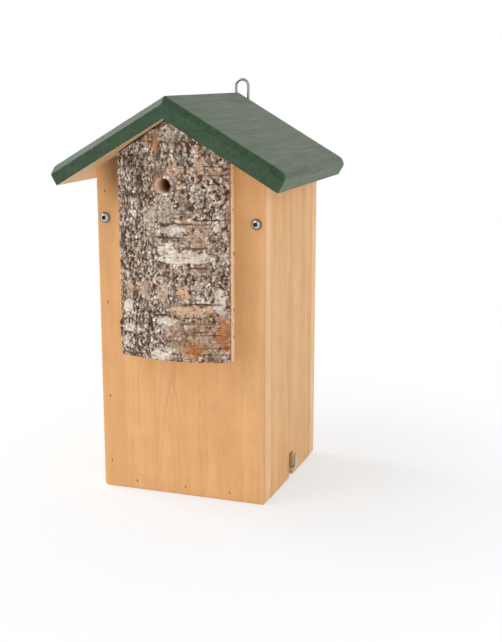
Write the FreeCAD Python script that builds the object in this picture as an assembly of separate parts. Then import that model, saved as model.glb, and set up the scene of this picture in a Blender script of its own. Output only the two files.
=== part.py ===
# Hanging nest box for birds: softwood walls under a gabled roof of two boards, a slab of birch
# with its bark on over the entrance, and a side door that swings on two screws and is held by a hook.
# Millimetres. Origin: centre of the box's footprint, on its underside. +X right, seen from the
# front, +Y to the back, +Z up.
import FreeCAD, Part
import math
import os

V = FreeCAD.Vector

# Body
box_width = 175.0  # across the front, outside
box_depth = 172.0  # front face to back face
wall_height = 326.0  # underside to roof, at the outer corners
wall = 18.0  # front, back and side boards
floor_thickness = 18.0
board_arris = 0.8  # eased outer edges of the boards

# Roof
roof_pitch = 30.0  # degrees
roof_thickness = 18.0
roof_front_overhang = 36.0  # beyond the front panel; the back is flush
roof_side_overhang = 23.6  # beyond the side walls, level
roof_eave_radius = 8.0  # rounded top edge at the eave
roof_rake_bevel = 6.0  # flat bevel along the top edges at front and back

# Entrance, drilled through slab and front panel together
hole_diameter = 15.0
hole_below_apex = 61.9  # hole centre below the gable's peak
hole_offset = -5.6  # hole centre from the middle of the front

# Bark slab
slab_width = 114.0
slab_offset = -0.8  # slab centre from the middle of the front
slab_bottom = 146.0  # foot of the slab above the underside
slab_crown = 26.0  # thickness at the middle, as sawn from a round log
slab_edge = 13.0  # thickness at its long edges
slab_roof_gap = 0.3

# Main fissures of the bark
fissure_depth = 1.5
fissure_width = 3.4
# Each one's middle across from the slab's middle and up from its foot, its length, and its lean in degrees
fissures = (
    (-48, 188, 26, 4),
    (-38, 172, 30, -6),
    (-20, 194, 26, 5),
    (-27, 161, 28, 8),
    (-49, 152, 30, -3),
    (-34, 134, 30, 6),
    (-50, 118, 28, 4),
    (-29, 106, 32, -5),
    (-43, 91, 30, 7),
    (-36, 65, 30, -12),
    (-50, 62, 26, 9),
    (-18, 66, 24, 22),
    (0, 66, 26, -4),
    (-37, 34, 28, 6),
    (-22, 24, 30, -8),
    (21, 75, 28, -3),
    (41, 76, 26, 5),
    (20, 160, 28, -6),
    (35, 155, 24, 8),
    (9, 203, 24, -5),
    (44, 187, 30, 92),
    (46, 171, 28, 87),
    (38, 137, 30, 91),
    (14, 133, 30, 89),
    (-3, 120, 28, 93),
    (25, 110, 30, 88),
    (31, 92, 26, 92),
    (32, 57, 30, 90),
    (-7, 45, 28, 88),
    (24, 43, 30, 92),
    (30, 30, 30, 87),
    (37, 8, 30, 91),
)

# Door, which is the right side wall
door_edge_gap = 0.75  # to the front and back panels
door_floor_gap = 0.3
door_roof_gap = 1.5
door_foot_gap = 1.0  # above the underside
pivot_below_corner = 47.0  # pivot below the wall's outer top corner
notch_width = 13.0
notch_height = 28.0  # above the underside

# Pan-head wood screws with washers
screw_shank_radius = 2.0
screw_head_radius = 4.1
screw_head_height = 2.8
screw_head_rim = 1.0  # straight part of the head
screw_bite = 24.0  # reach past the panel, into what it holds
screw_tip = 3.0
socket_width = 3.6  # across flats
socket_depth = 1.6
washer_radius = 5.25
washer_thickness = 1.0
washer_clearance = 0.2  # washer hole round the shank
pivot_clearance = 0.05  # running fit of the shank in the door, on the radius
fixed_clearance = 0.05  # screws in the boards they hold, on the radius
bore_end_gap = 1.0  # room past a tip in its blind bore

# Countersunk screws that hold the slab from inside
slab_screw_radius = 1.75
slab_screw_head_radius = 3.6
slab_screw_bite = 9.0
slab_screw_spread = 76.0  # between the two columns
slab_screw_above_foot = 34.0
slab_screw_below_apex = 88.0

# Brads with T heads
brad_width = 1.2
brad_depth = 1.0
brad_length = 36.0
brad_head_length = 2.6
brad_head_thickness = 1.0
side_brad_low = 28.0  # lowest brad above the underside
side_brad_below_corner = 21.0
side_brad_shares = (0.0, 0.25, 0.6, 1.0)  # uneven hand spacing between lowest and highest
floor_brad_margin = 19.0  # outermost brads from the inner walls
floor_brad_shares = (0.0, 0.53, 1.0)
roof_brad_ridge_margin = 34.0  # along the slope, from the ridge
roof_brad_wall_margin = 30.0  # along the slope, from the side wall's outer face

# Turn hook
hook_wire_radius = 2.0
hook_height = 10.0  # shank axis above the underside
hook_reach = 5.0  # arm axis beyond the door's face
hook_arm = 16.5  # shank axis to tip
hook_bend = 4.0  # bend radius on the centre line
hook_depth = 28.0  # shank inside the floor board
hook_tip_round = 1.2
hook_clearance = 0.05  # running fit in the floor, on the radius

# Wire hanger on the back
hanger_wire_radius = 1.5
hanger_width = 13.8  # between the legs, on centres
hanger_rise = 14.7  # top of the loop above the ridge
hanger_offset = 2.0  # loop centre from the middle of the back
hanger_eye_radius = 4.0  # centre line of each eye
hanger_eye_turn = 265.0  # degrees of each eye
hanger_eye_below_ridge = 62.0
hanger_screw_bite = 15.0

# Derived places
half_width = box_width / 2
inner_half = half_width - wall
inner_depth = box_depth - 2 * wall
front = -box_depth / 2
back = box_depth / 2
pitch = math.radians(roof_pitch)
slope = math.tan(pitch)
apex = wall_height + half_width * slope
ridge = apex + roof_thickness / math.cos(pitch)
edge_line = half_width - wall / 2  # middle of a side wall's thickness
pivot_height = wall_height - pivot_below_corner
hole_height = apex - hole_below_apex
door_face = half_width
same_place = 0.01  # nearer than this, two coordinates count as equal when edges are picked


# Height of the roof's underside above x, less a gap square to the slope
def under_roof(x, gap=0.0):
    return apex - abs(x) * slope - gap / math.cos(pitch)


# Prism on an X-Z outline between two depths
def prism(outline, y_low, y_high):
    points = [V(x, y_low, z) for x, z in outline]
    face = Part.Face(Part.makePolygon(points + points[:1]))
    return face.extrude(V(0, y_high - y_low, 0))


# Round the edges whose midpoints pass a test
def rounded(shape, radius, test):
    edges = [edge for edge in shape.Edges if test(edge.CenterOfMass)]
    return shape.makeFillet(radius, edges)


# Turn a fastener modelled head-up along Z so that its head faces the front or the back
def facing(shape, direction, position):
    turned = shape.copy()
    turned.rotate(V(0, 0, 0), V(1, 0, 0), -90 * direction)
    turned.translate(position)
    return turned


def gable_panel(outer):
    outline = [
        (-half_width, 0),
        (half_width, 0),
        (half_width, wall_height),
        (0, apex),
        (-half_width, wall_height),
    ]
    low = outer if outer < 0 else outer - wall
    panel = prism(outline, low, low + wall)
    for x in (-edge_line, edge_line):
        start = V(x, low, pivot_height)
        hole = Part.makeCylinder(screw_shank_radius + fixed_clearance, wall, start, V(0, 1, 0))
        panel = panel.cut(hole)

    def on_outer_arris(point):
        upright = abs(abs(point.x) - half_width) < same_place
        foot = abs(point.z) < same_place
        return abs(point.y - outer) < same_place and (upright or foot)

    return rounded(panel, board_arris, on_outer_arris)


# Entrance hole as a drill that passes through slab and panel
def entrance_drill():
    start = V(hole_offset, front - slab_crown - wall, hole_height)
    return Part.makeCylinder(hole_diameter / 2, slab_crown + 3 * wall, start, V(0, 1, 0))


def front_panel():
    return gable_panel(front).cut(entrance_drill()).cut(slab_screw_drills())


def back_panel():
    panel = gable_panel(back)
    for x, z in hanger_eye_places():
        hole = Part.makeCylinder(
            screw_shank_radius + fixed_clearance,
            hanger_screw_bite + bore_end_gap,
            V(x, back, z),
            V(0, -1, 0),
        )
        panel = panel.cut(hole)
    return panel


# Blind bores in a side wall's front and back edges, for the screws through the panels
def edge_bores(x, edge, clearance):
    depth = screw_bite - (inner_depth / 2 - edge) + bore_end_gap
    radius = screw_shank_radius + clearance
    mouths = [(V(x, way * edge, pivot_height), V(0, -way, 0)) for way in (-1, 1)]
    bores = [Part.makeCylinder(radius, depth, mouth, heading) for mouth, heading in mouths]
    return Part.makeCompound(bores)


def left_side_panel():
    outline = [
        (-half_width, 0),
        (-inner_half, 0),
        (-inner_half, under_roof(inner_half)),
        (-half_width, wall_height),
    ]
    panel = prism(outline, -inner_depth / 2, inner_depth / 2)
    return panel.cut(edge_bores(-edge_line, inner_depth / 2, fixed_clearance))


def right_side_door():
    outline = [
        (inner_half, door_foot_gap),
        (door_face, door_foot_gap),
        (door_face, under_roof(door_face, door_roof_gap)),
        (inner_half, under_roof(inner_half, door_roof_gap)),
    ]
    door_half = inner_depth / 2 - door_edge_gap
    door = prism(outline, -door_half, door_half)
    notch = Part.makeBox(wall, notch_width, notch_height, V(inner_half, -notch_width / 2, 0))
    return door.cut(notch).cut(edge_bores(edge_line, door_half, pivot_clearance))


def floor_panel():
    right_end = inner_half - door_floor_gap
    corner = V(-inner_half, -inner_depth / 2, 0)
    panel = Part.makeBox(inner_half + right_end, inner_depth, floor_thickness, corner)
    bore = Part.makeCylinder(
        hook_wire_radius + hook_clearance,
        hook_depth + bore_end_gap,
        V(right_end, 0, hook_height),
        V(-1, 0, 0),
    )
    return panel.cut(bore)


# Wedge that bevels a roof board's top edge at the front or the back, way 1 or -1 into the board
def rake_wedge(side, end, way):
    down_slope = V(side * math.cos(pitch), 0, -math.sin(pitch))
    outward = V(side * math.sin(pitch), 0, math.cos(pitch))
    inward = V(0, way, 0)
    corner = V(0, end, ridge) - down_slope * roof_thickness
    spare = roof_rake_bevel  # how far the wedge stands clear of the board
    points = [
        corner - inward * spare - outward * (roof_rake_bevel + spare),
        corner + inward * (roof_rake_bevel + spare) + outward * spare,
        corner - inward * spare + outward * spare,
    ]
    face = Part.Face(Part.makePolygon(points + points[:1]))
    length = (half_width + roof_side_overhang) / math.cos(pitch) + 3 * roof_thickness
    return face.extrude(down_slope * length)


# One roof board, side 1 on the right and -1 on the left
def roof_board(side):
    eave = half_width + roof_side_overhang
    tip_height = apex - eave * slope
    outline = [
        (0, apex),
        (side * eave, tip_height),
        (
            side * (eave + roof_thickness * math.sin(pitch)),
            tip_height + roof_thickness * math.cos(pitch),
        ),
        (0, ridge),
    ]
    board = prism(outline, front - roof_front_overhang, back)

    def on_eave(point):
        top = ridge - abs(point.x) * slope
        return abs(point.z - top) < same_place and abs(point.x) > half_width

    board = rounded(board, roof_eave_radius, on_eave)
    front_wedge = rake_wedge(side, front - roof_front_overhang, 1)
    back_wedge = rake_wedge(side, back, -1)
    return board.cut(front_wedge).cut(back_wedge)


# Cutter for one fissure: a ring with a sharp rim that dips into the round front and leaves a pointed cut
def fissure_cutter(across, up, length, lean):
    sag = slab_crown - slab_edge
    log_radius = (slab_width**2 / 4 + sag**2) / (2 * sag)
    turn = math.asin(across / log_radius)
    outward = V(math.sin(turn), -math.cos(turn), 0)
    level = V(math.cos(turn), math.sin(turn), 0)
    rise, run = math.cos(math.radians(lean)), math.sin(math.radians(lean))
    sideways = outward.cross(V(0, 0, rise) + level * run)
    bow = run**2 / log_radius  # how the log curves away along the cut
    rim_radius = 1 / (8 * fissure_depth / length**2 - bow)
    log_axis = V(slab_offset, front - slab_crown + log_radius, slab_bottom + up)
    rim = log_axis + outward * (log_radius - fissure_depth)
    shoulder = rim + outward * (2 * fissure_depth)
    points = [rim, shoulder + sideways * fissure_width, shoulder - sideways * fissure_width]
    face = Part.Face(Part.makePolygon(points + points[:1]))
    return face.revolve(rim + outward * rim_radius, sideways, 360)


# Log slab: flat back on the panel, round front with its main fissures, top cut to the gable
def bark_slab():
    left = slab_offset - slab_width / 2
    right = slab_offset + slab_width / 2
    rim = front - slab_edge
    bow = Part.Arc(V(left, rim, 0), V(slab_offset, front - slab_crown, 0), V(right, rim, 0))
    edges = [
        Part.LineSegment(V(left, front, 0), V(left, rim, 0)),
        bow,
        Part.LineSegment(V(right, rim, 0), V(right, front, 0)),
        Part.LineSegment(V(right, front, 0), V(left, front, 0)),
    ]
    face = Part.Face(Part.Wire([edge.toShape() for edge in edges]))
    slab = face.extrude(V(0, 0, apex - slab_bottom))
    slab.translate(V(0, 0, slab_bottom))
    peak = under_roof(0, slab_roof_gap)
    corner = under_roof(half_width, slab_roof_gap)
    below_roof = prism(
        [(-half_width, 0), (half_width, 0), (half_width, corner), (0, peak), (-half_width, corner)],
        front - 2 * slab_crown,
        back,
    )
    slab = slab.cut([fissure_cutter(*fissure) for fissure in fissures])
    return slab.common(below_roof).cut(entrance_drill()).cut(slab_screw_drills())


# Pan-head screw, head up, its underside at height 0
def pan_screw(length):
    dome = screw_head_height - screw_head_rim
    dome_radius = (screw_head_radius**2 + dome**2) / (2 * dome)
    half_turn = math.asin(screw_head_radius / dome_radius) / 2
    dome_middle = V(
        dome_radius * math.sin(half_turn), 0, screw_head_height - dome_radius * (1 - math.cos(half_turn))
    )
    outline = [
        Part.LineSegment(V(0, 0, -length), V(screw_shank_radius, 0, screw_tip - length)),
        Part.LineSegment(V(screw_shank_radius, 0, screw_tip - length), V(screw_shank_radius, 0, 0)),
        Part.LineSegment(V(screw_shank_radius, 0, 0), V(screw_head_radius, 0, 0)),
        Part.LineSegment(V(screw_head_radius, 0, 0), V(screw_head_radius, 0, screw_head_rim)),
        Part.Arc(V(screw_head_radius, 0, screw_head_rim), dome_middle, V(0, 0, screw_head_height)),
        Part.LineSegment(V(0, 0, screw_head_height), V(0, 0, -length)),
    ]
    face = Part.Face(Part.Wire([edge.toShape() for edge in outline]))
    screw = face.revolve(V(0, 0, 0), V(0, 0, 1), 360)
    corner = socket_width / math.sqrt(3)
    turns = [math.radians(60 * i) for i in range(6)]
    ring = [V(corner * math.cos(turn), corner * math.sin(turn), 0) for turn in turns]
    socket = Part.Face(Part.makePolygon(ring + ring[:1])).extrude(V(0, 0, screw_head_height))
    socket.translate(V(0, 0, screw_head_height - socket_depth))
    return screw.cut(socket)


# Front and back twins on one side wall's middle line
def panel_screws(x):
    length = washer_thickness + wall + screw_bite
    screw = pan_screw(length)
    seats = [(-1, front - washer_thickness), (1, back + washer_thickness)]
    return Part.makeCompound([facing(screw, way, V(x, y, pivot_height)) for way, y in seats])


def screw_washers():
    washer = Part.makeCylinder(washer_radius, washer_thickness)
    hole = Part.makeCylinder(screw_shank_radius + washer_clearance, washer_thickness)
    washer = washer.cut(hole)
    places = [(x, way, y) for x in (-edge_line, edge_line) for way, y in ((-1, front), (1, back))]
    return Part.makeCompound([facing(washer, way, V(x, y, pivot_height)) for x, way, y in places])


# Countersunk screw, head up and flush at height 0
def countersunk_screw(clearance, length):
    head = slab_screw_head_radius + clearance
    shank = slab_screw_radius + clearance
    outline = [
        V(0, 0, 0),
        V(head, 0, 0),
        V(shank, 0, shank - head),
        V(shank, 0, screw_tip - length),
        V(0, 0, -length),
    ]
    face = Part.Face(Part.makePolygon(outline + outline[:1]))
    return face.revolve(V(0, 0, 0), V(0, 0, 1), 360)


# The slab's screws, or with a clearance and more length the holes that they sit in
def slab_screw_set(clearance, length):
    columns = (slab_offset - slab_screw_spread / 2, slab_offset + slab_screw_spread / 2)
    rows = (slab_bottom + slab_screw_above_foot, apex - slab_screw_below_apex)
    screw = countersunk_screw(clearance, length)
    return Part.makeCompound([facing(screw, 1, V(x, front + wall, z)) for x in columns for z in rows])


def slab_screws():
    return slab_screw_set(0, wall + slab_screw_bite)


def slab_screw_drills():
    return slab_screw_set(fixed_clearance, wall + slab_screw_bite + bore_end_gap)


# T-head brad, driven down from height 0
def brad():
    shank = Part.makeBox(
        brad_width,
        brad_depth,
        brad_length,
        V(-brad_width / 2, -brad_depth / 2, -brad_length),
    )
    head = Part.makeBox(
        brad_width,
        brad_head_length,
        brad_head_thickness,
        V(-brad_width / 2, -brad_head_length / 2, -brad_head_thickness),
    )
    return shank.fuse(head).removeSplitter()


def spread(low, high, shares):
    return [low + share * (high - low) for share in shares]


# Brads through a gable panel into the left side wall
def side_brads(way, y):
    heights = spread(side_brad_low, wall_height - side_brad_below_corner, side_brad_shares)
    return Part.makeCompound([facing(brad(), way, V(-edge_line, y, z)) for z in heights])


# Brads through a gable panel into the floor
def floor_brads(way, y):
    reach = inner_half - floor_brad_margin
    places = spread(-reach, reach, floor_brad_shares)
    return Part.makeCompound([facing(brad(), way, V(x, y, floor_thickness / 2)) for x in places])


# Brads square through one roof board into the gable panels' sloping edges
def roof_brads(side):
    wall_line = half_width / math.cos(pitch)
    nails = []
    for along in (roof_brad_ridge_margin, wall_line - roof_brad_wall_margin):
        x = along * math.cos(pitch)
        for y in (front + wall / 2, back - wall / 2):
            nail = brad()
            nail.rotate(V(0, 0, 0), V(0, 1, 0), side * roof_pitch)
            nail.translate(V(side * x, y, ridge - along * math.sin(pitch)))
            nails.append(nail)
    return Part.makeCompound(nails)


# Round wire swept along a path of lines and arcs
def bent_wire(curves, radius):
    path = Part.Wire([curve.toShape() for curve in curves])
    first = path.Edges[0]
    start = first.valueAt(first.FirstParameter)
    heading = first.tangentAt(first.FirstParameter)
    ring = Part.Wire(Part.makeCircle(radius, start, heading))
    return path.makePipeShell([ring], True, False)


def latch_hook():
    arm = door_face + hook_reach
    inner_end = inner_half - door_floor_gap - hook_depth
    turn = hook_bend * (1 - math.sqrt(0.5))
    curves = [
        Part.LineSegment(V(inner_end, 0, hook_height), V(arm - hook_bend, 0, hook_height)),
        Part.Arc(
            V(arm - hook_bend, 0, hook_height),
            V(arm - turn, 0, hook_height + turn),
            V(arm, 0, hook_height + hook_bend),
        ),
        Part.LineSegment(V(arm, 0, hook_height + hook_bend), V(arm, 0, hook_height + hook_arm)),
    ]
    hook = bent_wire(curves, hook_wire_radius)
    tip = hook_height + hook_arm
    return rounded(hook, hook_tip_round, lambda point: abs(point.z - tip) < same_place)


# Point on an upright circle parallel to the back, its angle turned from +X towards +Z
def on_ring(x, y, z, radius, degrees):
    turn = math.radians(degrees)
    return V(x + radius * math.cos(turn), y, z + radius * math.sin(turn))


def hanger_eye_places():
    reach = hanger_width / 2 + hanger_eye_radius
    height = ridge - hanger_eye_below_ridge
    return [(hanger_offset + side * reach, height) for side in (-1, 1)]


# Narrow loop above the ridge, two legs down the back, an open eye at the foot of each leg
def hanger_wire():
    y = back + hanger_wire_radius
    half = hanger_width / 2
    left_leg = hanger_offset - half
    right_leg = hanger_offset + half
    (left_x, eye_z), (right_x, eye_z) = hanger_eye_places()
    crown = ridge + hanger_rise - hanger_wire_radius - half
    eye = hanger_eye_radius
    turn = hanger_eye_turn
    curves = [
        Part.Arc(
            on_ring(left_x, y, eye_z, eye, -turn),
            on_ring(left_x, y, eye_z, eye, -turn / 2),
            on_ring(left_x, y, eye_z, eye, 0),
        ),
        Part.LineSegment(V(left_leg, y, eye_z), V(left_leg, y, crown)),
        Part.Arc(V(left_leg, y, crown), V(hanger_offset, y, crown + half), V(right_leg, y, crown)),
        Part.LineSegment(V(right_leg, y, crown), V(right_leg, y, eye_z)),
        Part.Arc(
            on_ring(right_x, y, eye_z, eye, 180),
            on_ring(right_x, y, eye_z, eye, 180 + turn / 2),
            on_ring(right_x, y, eye_z, eye, 180 + turn),
        ),
    ]
    return bent_wire(curves, hanger_wire_radius)


def hanger_screws():
    seat = back + 2 * hanger_wire_radius
    screw = pan_screw(2 * hanger_wire_radius + hanger_screw_bite)
    return Part.makeCompound([facing(screw, 1, V(x, seat, z)) for x, z in hanger_eye_places()])


nodes = {
    "front_panel": front_panel(),
    "back_panel": back_panel(),
    "left_side_panel": left_side_panel(),
    "right_side_door": right_side_door(),
    "floor_panel": floor_panel(),
    "roof_board_left": roof_board(-1),
    "roof_board_right": roof_board(1),
    "bark_slab": bark_slab(),
    "slab_screws": slab_screws(),
    "pivot_screws": panel_screws(edge_line),
    "fixing_screws": panel_screws(-edge_line),
    "screw_washers": screw_washers(),
    "front_side_brads": side_brads(-1, front),
    "front_floor_brads": floor_brads(-1, front),
    "back_side_brads": side_brads(1, back),
    "back_floor_brads": floor_brads(1, back),
    "roof_brads_left": roof_brads(-1),
    "roof_brads_right": roof_brads(1),
    "latch_hook": latch_hook(),
    "hanger_wire": hanger_wire(),
    "hanger_screws": hanger_screws(),
}

os.makedirs("parts", exist_ok=True)
for name, shape in nodes.items():
    shape.exportStep("parts/" + name + ".step")
    print(name, "solids", len(shape.Solids), "valid", shape.isValid(), "volume", round(shape.Volume, 1))
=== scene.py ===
import bmesh
import bpy
import math
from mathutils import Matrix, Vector, noise


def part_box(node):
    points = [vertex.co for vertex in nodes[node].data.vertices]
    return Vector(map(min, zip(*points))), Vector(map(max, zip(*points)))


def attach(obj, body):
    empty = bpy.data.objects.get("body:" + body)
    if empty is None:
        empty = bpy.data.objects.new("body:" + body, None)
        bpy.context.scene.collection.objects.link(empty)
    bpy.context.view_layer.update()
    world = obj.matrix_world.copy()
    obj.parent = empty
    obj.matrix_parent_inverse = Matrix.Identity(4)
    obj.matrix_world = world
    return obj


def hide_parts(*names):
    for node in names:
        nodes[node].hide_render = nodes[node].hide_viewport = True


# Nest box with a bark front: the looks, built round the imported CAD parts, in metres and the CAD's own frame.
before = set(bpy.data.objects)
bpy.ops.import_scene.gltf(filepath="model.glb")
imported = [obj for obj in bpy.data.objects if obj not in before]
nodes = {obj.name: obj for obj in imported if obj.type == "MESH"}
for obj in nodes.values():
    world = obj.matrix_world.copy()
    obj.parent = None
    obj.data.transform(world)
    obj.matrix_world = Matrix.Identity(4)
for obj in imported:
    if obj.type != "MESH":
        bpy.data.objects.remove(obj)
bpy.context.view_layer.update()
mm = 0.001
perMetre = 1000  # mm
hair = 0.002 * mm  # closer than this, two points are one
flush = 0.01 * mm  # points this near to a fastener's end lie in it
scene = bpy.context.scene
print("frame loaded,", len(nodes), "nodes")


def linear(hexColour):  # sRGB hex to a linear colour
    shares = [int(hexColour[i:i + 2], 16) / 255 for i in (1, 3, 5)]
    return [c / 12.92 if c <= 0.04045 else ((c + 0.055) / 1.055) ** 2.4 for c in shares] + [1.0]


# Node helpers: most add to a tree and give back the socket that is used next

def plug(tree, node, inputs):  # a link where a socket is given, a value elsewhere
    for key, value in inputs.items():
        if isinstance(value, bpy.types.NodeSocket):
            tree.links.new(value, node.inputs[key])
        else:
            node.inputs[key].default_value = value


def addNode(tree, kind, inputs=None, **settings):
    node = tree.nodes.new(kind)
    for key, value in settings.items():
        setattr(node, key, value)
    plug(tree, node, inputs or {})
    return node


def calc(tree, operation, *values):
    return addNode(tree, "ShaderNodeMath", dict(enumerate(values)), operation=operation).outputs[0]


def vectorCalc(tree, operation, *values):
    node = addNode(tree, "ShaderNodeVectorMath", dict(enumerate(values)), operation=operation)
    return node.outputs["Value" if operation == "LENGTH" else "Vector"]


def ranged(tree, value, start, end, low, high, curve="LINEAR"):  # start to end becomes low to high
    return addNode(tree, "ShaderNodeMapRange", {
        "Value": value, "From Min": start, "From Max": end, "To Min": low, "To Max": high},
        interpolation_type=curve).outputs[0]


def mixed(tree, share, first, second, **settings):  # two colours, each a hex or a socket
    ends = [linear(end) if isinstance(end, str) else end for end in (first, second)]
    node = addNode(tree, "ShaderNodeMix", {0: share, 6: ends[0], 7: ends[1]}, data_type="RGBA", **settings)
    return node.outputs[2]


def objectSpot(tree):  # where a point lies in its object, in metres
    return addNode(tree, "ShaderNodeTexCoord").outputs["Object"]


def lumps(tree, place, sizes, unit=perMetre):  # a place counted in lumps of so many mm, from metres or mm
    scale = [unit / size for size in sizes]
    return addNode(tree, "ShaderNodeMapping", {"Vector": place, "Scale": scale}).outputs[0]


def noisy(tree, place, detail, scale=1.0, out="Fac", **inputs):
    return addNode(tree, "ShaderNodeTexNoise", {
        "Vector": place, "Scale": scale, "Detail": detail, **inputs}).outputs[out]


def bumped(tree, height, strength, depth):  # depth in mm
    return addNode(tree, "ShaderNodeBump", {
        "Height": height, "Strength": strength, "Distance": depth * mm}).outputs[0]


def axesOf(tree, vector):
    return addNode(tree, "ShaderNodeSeparateXYZ", {0: vector}).outputs


def triple(tree, x, y, z):
    return addNode(tree, "ShaderNodeCombineXYZ", {0: x, 1: y, 2: z}).outputs[0]


def newMaterial(name):
    material = bpy.data.materials.new(name)
    material.use_nodes = True
    return material, material.node_tree, material.node_tree.nodes["Principled BSDF"]


# Wood

pine = {
    "lineWidth": 3.0,  # mm between grain lines
    "wander": (17.0, 17.0, 0.0), "archShake": 9.0,  # mm that the rings and the arch drift along a board
    "drift": (55, 55, 330), "presence": (9, 9, 70), "band": (14, 14, 260), "blotch": 24,  # mm, lumps of noise
    "fibre": (0.9, 0.9, 16),  # mm, drawn coarser than a real fibre so that it shows
    "lineShare": 0.5, "bandShare": 0.8, "archShare": 0.52,  # how far they go to their own tones
    "archWidth": (0.2, 1.3), "archTop": 1.5,  # mm from full to gone, and times thicker at its top
    "archFade": 6,  # of its lengths, down to where it is gone
}


def fadeOut(tree, place, oval, start, middle, rim):  # a value that changes from an oval's middle to its rim
    x, z, wide, high = oval
    near = addNode(tree, "ShaderNodeMapping", {
        "Vector": place, "Location": (-x / wide, 0, -z / high),
        "Scale": (perMetre / wide, 0, perMetre / high)})
    away = vectorCalc(tree, "LENGTH", near.outputs[0])
    return ranged(tree, away, start, 1.0, middle, rim, "SMOOTHSTEP")


def archLine(tree, spot, drift, arch):  # one ring that the saw just touched: a narrow arch, open at its foot
    x, z, spread, length = arch
    place = addNode(tree, "ShaderNodeMapping", {
        "Vector": spot, "Location": (-x, 0, z), "Scale": (perMetre, 0, -perMetre)})
    shaky = vectorCalc(tree, "MULTIPLY_ADD", drift, (pine["archShake"], 0, 0), place.outputs[0])
    legs = axesOf(tree, shaky)
    out = calc(tree, "SUBTRACT", legs["X"], pine["archShake"] / 2)
    bow = calc(tree, "MULTIPLY_ADD", calc(tree, "MULTIPLY", out, out), -length / spread ** 2, legs["Z"])
    steep = calc(tree, "MULTIPLY_ADD", calc(tree, "ABSOLUTE", out), 2 * length / spread ** 2, pine["archTop"])
    away = calc(tree, "DIVIDE", calc(tree, "ABSOLUTE", bow), steep)
    strong = ranged(tree, legs["Z"], length, pine["archFade"] * length, pine["archShare"], 0.0)
    return ranged(tree, away, *pine["archWidth"], strong, 0.0)


def stainedPine(part, turn, pith, pale, dark, warm, marksAndShade=(), arch=None, shade=None):
    # Pine, planed and given a thin honey stain: faint broken lines along the grain, broad soft bands and
    # blotches where the stain took differently, a slightly open satin surface, and ring arcs on the sawn ends
    material, tree, shader = newMaterial("pine honey stained " + part)
    spot = objectSpot(tree)
    grain = addNode(tree, "ShaderNodeMapping", {
        "Vector": spot, "Scale": (perMetre, perMetre, perMetre),
        "Rotation": [math.radians(a) for a in turn], "Location": (-pith[0], -pith[1], 0)}).outputs[0]
    drift = noisy(tree, lumps(tree, grain, pine["drift"], 1), 2.0, out="Color")
    bent = vectorCalc(tree, "MULTIPLY_ADD", drift, pine["wander"], grain)
    radius = vectorCalc(tree, "LENGTH", vectorCalc(tree, "MULTIPLY", bent, (1, 1, 0)))
    years = addNode(tree, "ShaderNodeTexNoise", {
        "W": calc(tree, "DIVIDE", radius, pine["lineWidth"]), "Scale": 1.0, "Detail": 2.0, "Roughness": 0.5},
        noise_dimensions="1D").outputs["Fac"]
    presence = noisy(tree, lumps(tree, grain, pine["presence"], 1), 2.0)
    lineShare = ranged(tree, presence, 0.4, 0.7, 0.0, pine["lineShare"])
    late = ranged(tree, years, 0.45, 0.75, 0.0, lineShare, "SMOOTHSTEP")
    for *oval, share in marksAndShade:  # streaks and flecks of darker wood; the broad ones beside the slab are partly painted shade
        late = calc(tree, "MAXIMUM", late, fadeOut(tree, spot, oval, 0.3, share, 0.0))
    if arch:
        late = calc(tree, "MAXIMUM", late, archLine(tree, spot, drift, arch))
    fibre = noisy(tree, lumps(tree, grain, pine["fibre"], 1), 3.0)
    band = noisy(tree, lumps(tree, bent, pine["band"], 1), 2.0)
    blotch = noisy(tree, grain, 3.0, 1 / pine["blotch"])
    ground = mixed(tree, ranged(tree, band, 0.36, 0.66, 0.0, pine["bandShare"]), pale, warm)
    fleck = ranged(tree, calc(tree, "ADD", blotch, fibre), 0.6, 1.4, 0.91, 1.09)
    if shade:  # painted shade: a corner darkened in its colour more than the light alone makes it
        *oval, share = shade
        fleck = calc(tree, "MULTIPLY", fleck, fadeOut(tree, spot, oval, 0.1, share, 1.0))
    relief = calc(tree, "MULTIPLY_ADD", fibre, 0.6, late)
    plug(tree, shader, {
        "Base Color": vectorCalc(tree, "MULTIPLY", mixed(tree, late, ground, dark), fleck),
        "Roughness": ranged(tree, fibre, 0.0, 1.0, 0.5, 0.68),
        "Normal": bumped(tree, relief, 0.25, 0.15), "IOR": 1.4})
    return material


# the two broad marks at x 68 and -78 are partly grain streaks and partly painted shade from the slab and the
# eaves
frontMarksAndShade = [  # middle x and z, half width and height in mm, strength: as the photograph shows them
    (19.5, 96, 0.9, 10, 0.9), (18.5, 112, 0.7, 7, 0.5), (-49, 70, 5, 1.2, 0.4), (-70, 50, 3, 1.4, 0.35),
    (68, 215, 17, 130, 0.6), (-78, 265, 13, 90, 0.4), (-28, 60, 0.9, 75, 0.4), (42, 70, 14, 60, 0.22),
]
frontArch = (-10, 117, 5, 14)  # x and z of its top, its half width and how far down that is, mm
eaveShadePainted = (-64, 330, 24, 50, 0.33)  # painted shade beside the slab under the left eave: as a mark, but last comes the share of light left
frontPine = stainedPine("front", (1.6, 0, 0), (-5, -60), "#E8B27A", "#C89762", "#DEA66D", frontMarksAndShade,
                        frontArch, eaveShadePainted)
backPine = stainedPine("back", (-1.4, 0, 0), (22, 62), "#E6B078", "#CD9157", "#DCA46B")
leftPine = stainedPine("left side", (0, 1.2, 0), (-60, 10), "#E6B17A", "#CE945B", "#DDA76F")
# painted light: the door's pine is paler than the other boards, standing in for light on the side that faces
# right
doorPine = stainedPine("door", (0, 0.8, 0), (141, -18), "#F3C086", "#D2995F", "#E2AE74")
floorPine = stainedPine("floor", (0, -90, 0), (60, 8), "#E4AE76", "#CC9057", "#DAA26A")
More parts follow.
